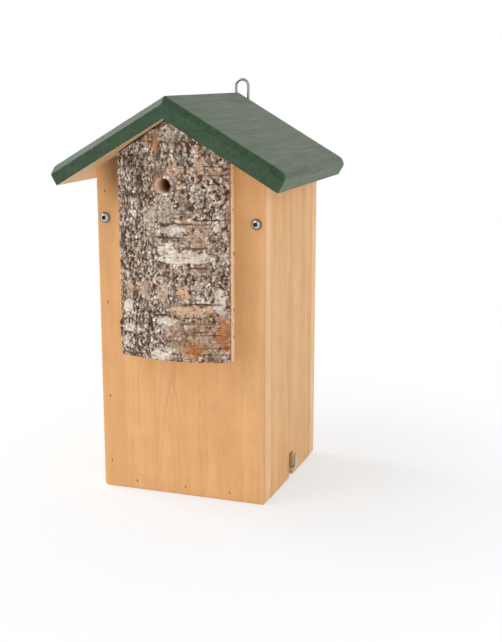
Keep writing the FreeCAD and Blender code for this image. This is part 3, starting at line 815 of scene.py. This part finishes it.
def barkAt(x, z):  # relief in mm, colour, how ready the bark is to flake, and how even it is
    seed = barkWork["seed"]

    def rough(width, height, layer):  # noise with lumps of this size in mm, another for each layer
        return roughAt(x / width, z / height, seed + layer)

    warpX = 1.5 * rough(6, 6, 0) + 1.2 * rough(2.1, 2.1, 1)
    warpZ = 1.2 * rough(6, 6, 9) + 1.1 * rough(2.1, 2.1, 8)
    broad = rough(11, 15, 2)
    right = ease(-16, 24, x + 10 * rough(18, 18, 3))  # 0 at the slab's left, 1 at its right
    wide, high = barkWork["scaleSize"]
    fine = rough(wide, high, 30) + 0.55 * rough(0.5 * wide, 0.45 * high, 34)
    coarse = rough(1.6 * wide, 1.5 * high, 31) + 0.6 * rough(0.7 * wide, 0.6 * high, 35)
    bulk = fine + (coarse - fine) * right + 0.3 * rough(0.25 * wide, 0.25 * high, 38)
    dull = math.exp(-((x + 42) / 18) ** 2 - ((z - 235) / 40) ** 2)  # more gaps at the left, half way up
    bulk += 0.34 * broad + 0.24 - 0.07 * right - 0.12 * dull
    scale = ease(-0.15, 0.15, bulk)  # 1 on a scale, 0 in the gaps
    near, own, slant = plates(x + warpX, z + warpZ, barkWork["plate"], seed + 4)
    crack = (1 - ease(0.06, 0.34, near)) * (0.95 - 0.15 * right)
    crack *= 0.25 + 0.75 * ease(-0.3, 0.1, rough(3.4, 4.0, 52))  # closed here and there: plates run together
    own = min(1.0, max(0.0, 0.6 + 0.9 * (own - 0.5) + 0.35 * broad + 0.3 * rough(2.6, 2.2, 5)))
    if own < 0.55:
        colour = blend(tones["grey"], tones["cream"], ease(0.0, 0.55, own))
    else:
        colour = blend(tones["cream"], tones["chalk"], ease(0.55, 1.0, own))
    gapColour = blend(tones["crack"], tones["gap"], ease(-0.3, 0.3, rough(1.7, 2.2, 44)))
    colour = blend(gapColour, colour, scale)
    relief = -barkWork["gapDepth"] * (1 - scale) - barkWork["crackDepth"] * crack * scale
    relief += barkWork["liftRange"] * (own - 0.6) + barkWork["tilt"] * slant
    smooth, power = 0.0, barkWork["patchPower"]
    for kind, middleX, middleZ, halfX, halfZ in barkPatches:
        u, v = abs(x - middleX) / halfX, abs(z - middleZ) / halfZ
        if max(u, v) > barkWork["patchReach"]:
            continue
        torn = 0.45 * rough(7, 4.5, middleX) + 0.3 * rough(2.6, 1.5, middleZ)
        _, evenness, proud, soft = patchKinds[kind]
        away = (u ** power + v ** power) ** (1 / power) + torn
        share = 1 - ease(0.98 - soft, 1.0 + soft, away)
        share *= 1 - 0.75 * ease(0.3, 0.5, rough(3.2, 2.2, middleX + middleZ))  # scales left standing in it
        if share > 0:
            colour = blend(colour, patchColours[kind], share * (0.35 + 0.6 * evenness))
            relief += share * (proud + evenness * (-0.3 - relief))
            smooth += share * (evenness - smooth)
    crack *= max(0.0, 1 - 1.15 * smooth)
    colour = blend(colour, tones["crack"], barkWork["crackShare"] * crack)
    furrow = abs(roughAt((x + 1.6 * warpX) / 8, z / 34, seed + 20))  # small upright furrows near 0
    deep = (1 - ease(0.03, 0.13, furrow)) * ease(-0.4, 0.1, rough(24, 40, 23))
    deep *= (1 - 0.8 * right) * (1 - 0.5 * smooth)
    cut = fissureAt(x + 0.8 * warpX, z + 0.5 * warpZ)
    if cut > 0:
        relief = min(relief, 0.3 * relief - barkWork["fissureDepth"] * cut)
    deep = max(deep, ease(0.1, 0.55, cut))
    colour = blend(colour, tones["crack"], barkWork["deepShare"] * deep)
    relief -= 0.6 * (1 - ease(0.015, 0.08, furrow)) * (1 - right)
    stripe = roughAt((x + 2 * warpX) / 10, z / 1.3, seed + 31)
    lenticel = max(ease(0.3, 0.55, stripe) * (0.2 + 0.6 * smooth), lineAt(x, z, warpZ))
    colour = blend(colour, tones["line"], barkWork["lineShare"] * lenticel)
    blush = barkWork["blush"] * rough(9, 7, 50)  # rosier here, greener there
    colour = [colour[0] * (1 + blush), colour[1] * (1 - 0.5 * blush), colour[2]]
    relief += 0.35 * rough(14, 14, 40) - 0.5 * lenticel
    flaking = scale * (1 - crack) * (1 - smooth) * (1 - lenticel) * (1 - deep) * ease(0.35, 0.8, own)
    return max(barkWork["lowest"], min(barkWork["highest"], relief)), colour, flaking, smooth


def edgeAt(x, z):  # x of a point, moved: the long edges waver, and torn bark sticks out at the left one
    waver = abs(roughAt(z / 6, 0.0, 1.0)) + 0.5 * abs(roughAt(z / 2, 0.0, 5.0))
    lip = ease(barkWork["lipFoot"], barkWork["lipTop"] - 3, z) * (1 - ease(-1.5, 1.5, z - barkWork["lipTop"]))
    leftPull, rightPull = (max(0.0, 1 - inside / barkWork["raggedReach"]) ** 2
                           for inside in (x - slabLeft, slabRight - x))
    moved = x + leftPull * (barkWork["raggedLeft"] * waver * (1 - lip) - barkWork["lipReach"] * lip)
    return moved - rightPull * barkWork["raggedRight"] * waver


def barkSlab():
    columns = round((slabRight - slabLeft) / barkWork["step"])
    rows = round((slabPeak - slabFoot) / barkWork["step"])
    sheet = bmesh.new()
    colourLayer = sheet.verts.layers.float_color.new("barkColour")
    flakeLayer = sheet.verts.layers.float.new("flaking")
    evenLayer = sheet.verts.layers.float.new("barkEven")
    grid = []
    for i in range(rows + 1):
        line = []
        for j in range(columns + 1):
            x = slabLeft + (slabRight - slabLeft) * j / columns
            topZ = slabPeak - barkWork["roofGap"] - abs(x) * math.tan(roofPitch)
            z = slabFoot + (topZ - slabFoot) * i / rows
            relief, colour, flaking, smooth = barkAt(x, z)
            x = edgeAt(x, z)
            if i == 0:
                z += barkWork["raggedFoot"] * abs(roughAt(x / 6, 2.0, 1.0))
            bow = slabBow - math.sqrt(slabBow ** 2 - (x - slabMiddle) ** 2)
            vert = sheet.verts.new((x * mm, (slabCrown + bow - relief) * mm, z * mm))
            vert[colourLayer] = colour + [1.0]
            vert[flakeLayer] = flaking
            vert[evenLayer] = smooth
            line.append(vert)
        grid.append(line)
    centre = Vector((entrance["x"] * mm, 0, entrance["z"] * mm))
    radius = entrance["radius"] * mm

    def reach(vert):
        return math.hypot(vert.co.x - centre.x, vert.co.z - centre.z)

    for i in range(rows):
        for j in range(columns):
            corners = (grid[i][j], grid[i][j + 1], grid[i + 1][j + 1], grid[i + 1][j])
            if sum(reach(v) for v in corners) / 4 > radius:
                sheet.faces.new(corners)
    bmesh.ops.delete(sheet, geom=[v for v in sheet.verts if not v.link_faces], context="VERTS")
    rim = [edge for edge in sheet.edges if len(edge.link_faces) == 1]
    for vert in {v for edge in rim for v in edge.verts}:
        if reach(vert) < barkWork["holeReach"] * radius:  # the drilled hole is round
            away = Vector((vert.co.x - centre.x, 0, vert.co.z - centre.z)).normalized()
            vert.co.x = centre.x + away.x * radius
            vert.co.z = centre.z + away.z * radius
    for face in sheet.faces:
        face.smooth = True
    for depth, kind in ((barkWork["layer"], 1), (None, 2)):  # inner bark, then wood down to the back
        made = bmesh.ops.extrude_edge_only(sheet, edges=rim)["geom"]
        rim = [part for part in made if isinstance(part, bmesh.types.BMEdge) and len(part.link_faces) == 1]
        for part in made:
            if isinstance(part, bmesh.types.BMFace):
                part.material_index = 3 if reach(part.verts[0]) < barkWork["boreReach"] * radius else kind
        for vert in {v for edge in rim for v in edge.verts}:
            vert.co.y = slabBack * mm if depth is None else vert.co.y + depth * mm
    for part in bmesh.ops.triangle_fill(sheet, edges=rim, use_beauty=True)["geom"]:
        if isinstance(part, bmesh.types.BMFace):
            part.material_index = 2
    bmesh.ops.recalc_face_normals(sheet, faces=sheet.faces)
    for edge in sheet.edges:  # the sawn and drilled faces meet the bark and each other at sharp corners
        if any(face.material_index for face in edge.link_faces):
            edge.smooth = edge.calc_face_angle() < math.radians(barkWork["sharp"])
    mesh = meshFrom(sheet, "bark_slab_relief")
    return newPiece("bark_slab_relief", mesh, bark, innerBark, sapwood, drilledBirch)


slab = barkSlab()
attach(slab, "box")
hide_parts("bark_slab")
print("bark slab made,", len(slab.data.polygons), "faces")

flakeWork = {
    "size": {"width": 1.9, "height": 2.3, "thickness": 0.28},  # mm
    "perSquareMetre": 24000, "seed": 6, "tilt": 0.3, "toneSeed": 3,
    "uneven": (0.0019, 0.0019, 0.0005), "unevenScale": 900.0,  # m that points are pushed, lumps in a metre
    "spin": 0.5, "smallest": 0.55, "largest": 1.35,
}


def flakeTree():
    tree, given, result = newTree(
        "bark flakes", "width height thickness density tilt", seed="Int", finish="Material")
    size = triple(tree, given["width"], given["height"], given["thickness"])
    plain = build(tree, "MeshCube", {"Size": size, "Vertices X": 4, "Vertices Y": 4})
    uneven = noisy(tree, build(tree, "InputPosition"), 1.0, flakeWork["unevenScale"], "Color")
    centred = vectorCalc(tree, "SUBTRACT", uneven, (0.5, 0.5, 0.5))
    pushed = vectorCalc(tree, "MULTIPLY", centred, flakeWork["uneven"])
    shaped = build(tree, "SetPosition", {"Geometry": plain, "Offset": pushed})
    density = calc(tree, "MULTIPLY", namedValue(tree, "flaking", "FLOAT"), given["density"])
    dots = addNode(tree, "GeometryNodeDistributePointsOnFaces", {
        "Mesh": given["Geometry"], "Density": density, "Seed": given["seed"]}, distribute_method="RANDOM")
    up, down = given["tilt"], calc(tree, "MULTIPLY", given["tilt"], -1.0)
    least = triple(tree, down, down, -flakeWork["spin"])
    most = triple(tree, up, up, flakeWork["spin"])
    turn = addNode(tree, "FunctionNodeRandomValue", {0: least, 1: most, "Seed": given["seed"]},
                   data_type="FLOAT_VECTOR")
    tilt = addNode(tree, "FunctionNodeEulerToRotation", {0: turn.outputs[0]})
    lie = addNode(tree, "FunctionNodeRotateRotation", {
        "Rotation": dots.outputs["Rotation"], "Rotate By": tilt.outputs[0]}, rotation_space="LOCAL")
    grow = addNode(tree, "FunctionNodeRandomValue", {
        2: flakeWork["smallest"], 3: flakeWork["largest"], "Seed": given["seed"]}, data_type="FLOAT")
    flakes = build(tree, "InstanceOnPoints", {
        "Points": dots.outputs["Points"], "Instance": shaped, "Rotation": lie.outputs[0],
        "Scale": grow.outputs[1]})
    tone = addNode(tree, "FunctionNodeRandomValue", {
        2: 0.0, 3: 1.0, "Seed": flakeWork["toneSeed"]}, data_type="FLOAT")
    marked = build(tree, "StoreNamedAttribute", {
        "Geometry": flakes, "Name": "flakeTone", "Value": tone.outputs[1]},
        data_type="FLOAT", domain="INSTANCE")
    return finished(tree, result, build(tree, "RealizeInstances", {"Geometry": marked}), given["finish"])


flakes = newPiece("bark_flakes", slab.data.copy())
runTree(flakes, flakeTree(), flakeWork["size"], density=flakeWork["perSquareMetre"], tilt=flakeWork["tilt"],
        seed=flakeWork["seed"], finish=bark)
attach(flakes, "box")
print("flakes scattered,", len(flakes.data.polygons), "faces")


# Screws and washers

panScrew = {  # mm, head, recess and shank as radii
    "head": 4.1, "height": 2.8, "rim": 1.0, "recess": 2.0, "depth": 1.5, "shank": 2.0, "length": 43.0,
}
hangerScrew = {**panScrew, "length": 18.0}
lobes = {"count": 6.0, "swell": 0.14}  # of the socket
washer = {"radius": 5.25, "hole": 2.2, "thickness": 1.0, "edge": 0.25}  # mm
turnedWork = {"smoothAngle": 32, "broad": 60, "pastShank": 3.0}  # degrees, square mm, mm


def screwTree():
    tree, given, result = newTree("pan head screws", " ".join(panScrew), finish="Material", inside="Material")
    blank = build(tree, "MeshCylinder", {
        "Vertices": 48, "Side Segments": 1, "Fill Segments": 16, "Radius": given["head"],
        "Depth": given["height"]})
    spot = build(tree, "InputPosition")
    axes = axesOf(tree, spot)
    out = vectorCalc(tree, "LENGTH", vectorCalc(tree, "MULTIPLY", spot, (1, 1, 0)))
    square = calc(tree, "POWER", calc(tree, "DIVIDE", out, given["head"]), 2.0)
    domeDrop = calc(tree, "MULTIPLY", square, calc(tree, "SUBTRACT", given["rim"], given["height"]))
    bearing = calc(tree, "ARCTAN2", axes["Y"], axes["X"])
    lobe = calc(tree, "COSINE", calc(tree, "MULTIPLY", bearing, lobes["count"]))
    wall = calc(tree, "MULTIPLY", calc(tree, "MULTIPLY_ADD", lobe, lobes["swell"], 1.0), given["recess"])
    inside = calc(tree, "LESS_THAN", out, wall)
    fall = calc(tree, "SUBTRACT", domeDrop, calc(tree, "MULTIPLY", inside, given["depth"]))
    onTop = calc(tree, "GREATER_THAN", axes["Z"], 0.0)
    lift = calc(tree, "MULTIPLY_ADD", given["height"], 0.5, calc(tree, "MULTIPLY", fall, onTop))
    marked = build(tree, "StoreNamedAttribute", {
        "Geometry": blank, "Name": "socket", "Value": calc(tree, "MULTIPLY", inside, onTop)},
        data_type="FLOAT", domain="FACE")
    head = build(tree, "SetPosition", {"Geometry": marked, "Offset": triple(tree, 0, 0, lift)})
    stem = build(tree, "MeshCylinder", {"Vertices": 24, "Radius": given["shank"], "Depth": given["length"]})
    sink = triple(tree, 0, 0, calc(tree, "MULTIPLY", given["length"], -0.5))
    shank = build(tree, "Transform", {"Geometry": stem, "Translation": sink})
    screw = addNode(tree, "GeometryNodeJoinGeometry")
    for part in (shank, head):
        tree.links.new(part, screw.inputs[0])
    row = copiesAt(tree, given["Geometry"], screw.outputs[0])
    plated = build(tree, "SetMaterial", {"Geometry": row, "Material": given["finish"]})
    hollow = calc(tree, "GREATER_THAN", namedValue(tree, "socket", "FLOAT"), 0.5)
    return finished(tree, result, plated, given["inside"], Selection=hollow)


def washerTree():
    tree, given, result = newTree("washers", "middle width thickness edge", finish="Material")
    loop = build(tree, "CurvePrimitiveCircle", {"Resolution": 48, "Radius": given["middle"]})
    band = build(tree, "CurvePrimitiveQuadrilateral", {"Width": given["width"], "Height": given["thickness"]})
    soft = build(tree, "FilletCurve", {"Curve": band, "Count": 3, "Radius": given["edge"]}, mode="POLY")
    ring = build(tree, "CurveToMesh", {"Curve": loop, "Profile Curve": soft})
    return finished(tree, result, copiesAt(tree, given["Geometry"], ring), given["finish"])


def joined(name, parts, *finishes):  # one object from several with the same finishes
    sheet = bmesh.new()
    for part in parts:
        sheet.from_mesh(part.data)
        bpy.data.objects.remove(part)
    for face in sheet.faces:
        face.material_index = max(0, face.material_index - 1)  # the trees leave their first slot empty
    bmesh.ops.recalc_face_normals(sheet, faces=sheet.faces)
    mesh = meshFrom(sheet, name)
    smoothed(mesh, turnedWork["smoothAngle"], turnedWork["broad"])
    return newPiece(name, mesh, *finishes)


screwMaker, washerMaker = screwTree(), washerTree()


def seats(node, aim):  # where the heads that face this way meet what they press on
    places = []
    for solid in solidsOf(node):
        middle, tip = middleOf(solid), endOf(solid, aim)
        shank = turnedWork["pastShank"] * mm
        rim = [point for point in solid if (point - tip - (point - tip).dot(aim) * aim).length > shank]
        if sum((point - middle).dot(aim) for point in rim) > 0:
            places.append(tip - aim * (tip.dot(aim) - min(point.dot(aim) for point in rim)))
    return places


def screwPieces(node, aims, sizes):
    parts = []
    for aim in aims:
        points = pointSet(node + "_points", seats(node, aim), aim)
        parts.append(runTree(points, screwMaker, sizes, finish=zincSteel, inside=socketSteel))
    piece = joined(node + "_turned", parts, zincSteel, socketSteel)
    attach(piece, "box")
    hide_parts(node)


screwPieces("pivot_screws", (toFront, toBack), panScrew)
screwPieces("fixing_screws", (toFront, toBack), panScrew)
screwPieces("hanger_screws", (toBack,), hangerScrew)

washerParts = []
for aim in (toFront, toBack):
    rings = [middleOf(solid) for solid in solidsOf("screw_washers")]
    points = pointSet("washer_points", [ring for ring in rings if ring.dot(aim) > 0], aim)
    washerParts.append(runTree(points, washerMaker, {
        "middle": (washer["radius"] + washer["hole"]) / 2, "width": washer["radius"] - washer["hole"],
        "thickness": washer["thickness"], "edge": washer["edge"]}, finish=washerPaintedShade))
washers = joined("screw_washers_turned", washerParts, washerPaintedShade)
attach(washers, "box")
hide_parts("screw_washers")

for node, finish in (("latch_hook", hookSteel), ("hanger_wire", wireSteel), ("slab_screws", zincSteel)):
    nodes[node].data.materials.clear()
    nodes[node].data.materials.append(finish)
print("screws, washers, hook and hanger finished")


# Studio: white sweep, soft lamps from the left, camera where the photograph was taken

studio = {
    "zenithLevel": 0.45, "zenithFrom": 0.35, "zenithTo": 0.95,  # the sky dims overhead
    "keyPlace": (-1.7, -1.5, 2.3), "keySize": 2.0, "keyPower": 22.0,
    "rimPlace": (-1.81, 0.28, 1.64), "rimSize": 0.9, "rimPower": 15.0,
    "lampAim": (0, 0, 0.2), "floorRadius": 4.0, "floorSides": 96,
    "floorGlow": 0.55, "whiteFrom": 0.14, "whiteTo": 0.48,  # m from the middle where the floor turns white
}
photoView = {
    "place": (0.4192, -1.0697, 0.4179), "turn": 19.385, "dip": 12.545,
    "focalPixels": 1117.5, "height": 642, "sensor": 36.0,
}

world = bpy.data.worlds.new("white studio")
scene.world = world
world.use_nodes = True
tree = world.node_tree
height = axesOf(tree, addNode(tree, "ShaderNodeTexCoord").outputs["Generated"])["Z"]
ceiling = ranged(
    tree, height, studio["zenithFrom"], studio["zenithTo"], 1.0, studio["zenithLevel"], "SMOOTHSTEP")
plug(tree, tree.nodes["Background"], {"Color": linear("#FFFFFF"), "Strength": ceiling})

paper, tree, shader = newMaterial("white paper sweep")  # matt white that loses itself in a white backdrop
plug(tree, shader, {"Base Color": linear("#F9FBFD"), "Roughness": 0.9})
far = vectorCalc(tree, "LENGTH", objectSpot(tree))
fade = ranged(tree, far, studio["whiteFrom"], studio["whiteTo"], studio["floorGlow"], 1.0, "SMOOTHSTEP")
rays = addNode(tree, "ShaderNodeLightPath").outputs
seen = calc(tree, "MAXIMUM", rays["Is Camera Ray"], rays["Is Glossy Ray"])
glow = addNode(tree, "ShaderNodeEmission", {"Color": linear("#FFFFFF"), "Strength": 1.0})
both = addNode(tree, "ShaderNodeMixShader", {
    0: calc(tree, "MULTIPLY", fade, seen), 1: shader.outputs[0], 2: glow.outputs[0]})
tree.links.new(both.outputs[0], tree.nodes["Material Output"].inputs["Surface"])
sheet = bmesh.new()
bmesh.ops.create_circle(sheet, cap_ends=True, radius=studio["floorRadius"], segments=studio["floorSides"])
floor = newPiece("floor_sweep", meshFrom(sheet, "floor_sweep"), paper)

for part in ("key", "rim"):
    lamp = bpy.data.lights.new(part + " softbox", "AREA")
    lamp.shape = "DISK"
    lamp.size = studio[part + "Size"]
    lamp.energy = studio[part + "Power"]
    softbox = bpy.data.objects.new(part + " softbox", lamp)
    softbox.location = studio[part + "Place"]
    aim = Vector(studio["lampAim"]) - softbox.location
    softbox.rotation_euler = aim.to_track_quat("-Z", "Y").to_euler()
    scene.collection.objects.link(softbox)

lens = bpy.data.cameras.new("photo camera")
lens.sensor_fit = "VERTICAL"
lens.sensor_height = photoView["sensor"]
lens.lens = lens.sensor_height * photoView["focalPixels"] / photoView["height"]
camera = bpy.data.objects.new("photo camera", lens)
camera.location = photoView["place"]
camera.rotation_euler = (math.radians(90 - photoView["dip"]), 0, math.radians(photoView["turn"]))
scene.collection.objects.link(camera)
scene.camera = camera
scene.view_settings.view_transform = "Standard"
print("studio ready")
